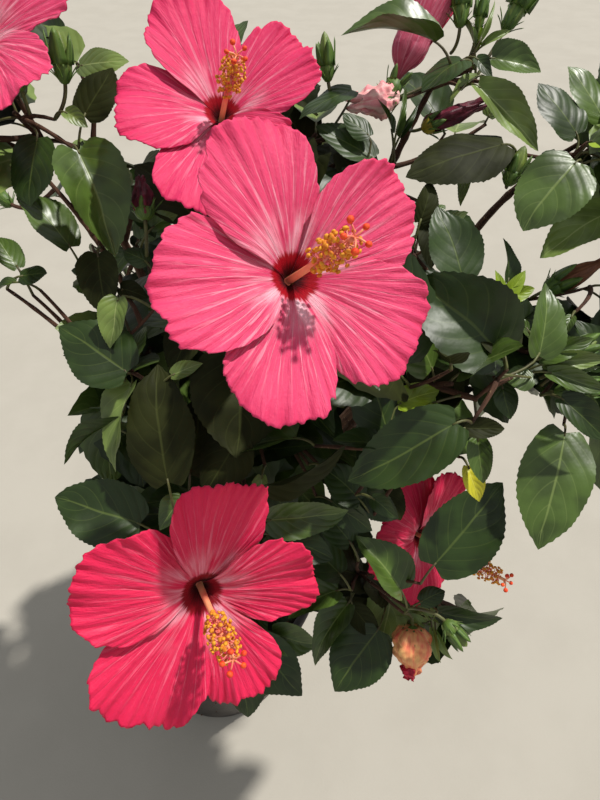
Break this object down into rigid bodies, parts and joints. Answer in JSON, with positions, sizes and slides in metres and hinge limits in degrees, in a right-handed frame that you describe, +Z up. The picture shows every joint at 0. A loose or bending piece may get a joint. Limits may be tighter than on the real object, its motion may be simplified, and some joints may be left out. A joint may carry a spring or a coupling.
{
  "type": "potted hibiscus shrub",
  "caption": "Hibiscus shrub in flower: broad pink blooms with long golden columns over glossy toothed leaves, on woody boughs that fork low from a short trunk in a plain round pot.",
  "frame": {"origin": "middle of the pot's flat underside", "axes": "+Z up, +Y away from the side that the picture was taken from, +X to that viewer's right"},
  "size_m": [0.7076, 0.6965, 1.1065],
  "materials": {
    "pot": "matt charcoal grower's pot, lightly scuffed",
    "soil": "damp dark compost with bits of bark",
    "bark": "matt reddish-brown bark with fine fissures",
    "foliage": "glossy dark green leaf, paler along the veins",
    "bloom": "silky bright pink petal with a deep red eye"
  },
  "bodies": {
    "root": {"bough_back": "bark", "bough_back_left": "bark", "bough_back_right": "bark", "bough_centre": "bark", "bough_front_left": "bark", "bough_front_right": "bark", "bough_left": "bark", "bough_low_back": "bark", "bough_low_front": "bark", "bough_low_right": "bark", "bough_right": "bark", "bough_right_centre": "bark", "bough_top": "bark", "bough_top_centre": "bark", "bough_upper_left": "bark", "bough_upper_right": "bark", "foliage_back": "foliage", "foliage_back_left": "foliage", "foliage_back_right": "foliage", "foliage_centre": "foliage", "foliage_front_left": "foliage", "foliage_front_right": "foliage", "foliage_left": "foliage", "foliage_low_back": "foliage", "foliage_low_front": "foliage", "foliage_low_right": "foliage", "foliage_right": "foliage", "foliage_right_centre": "foliage", "foliage_top": "foliage", "foliage_top_centre": "foliage", "foliage_upper_left": "foliage", "foliage_upper_right": "foliage", "pot": "pot", "soil": "soil", "trunk": "bark"}
  },
  "joints": []
}
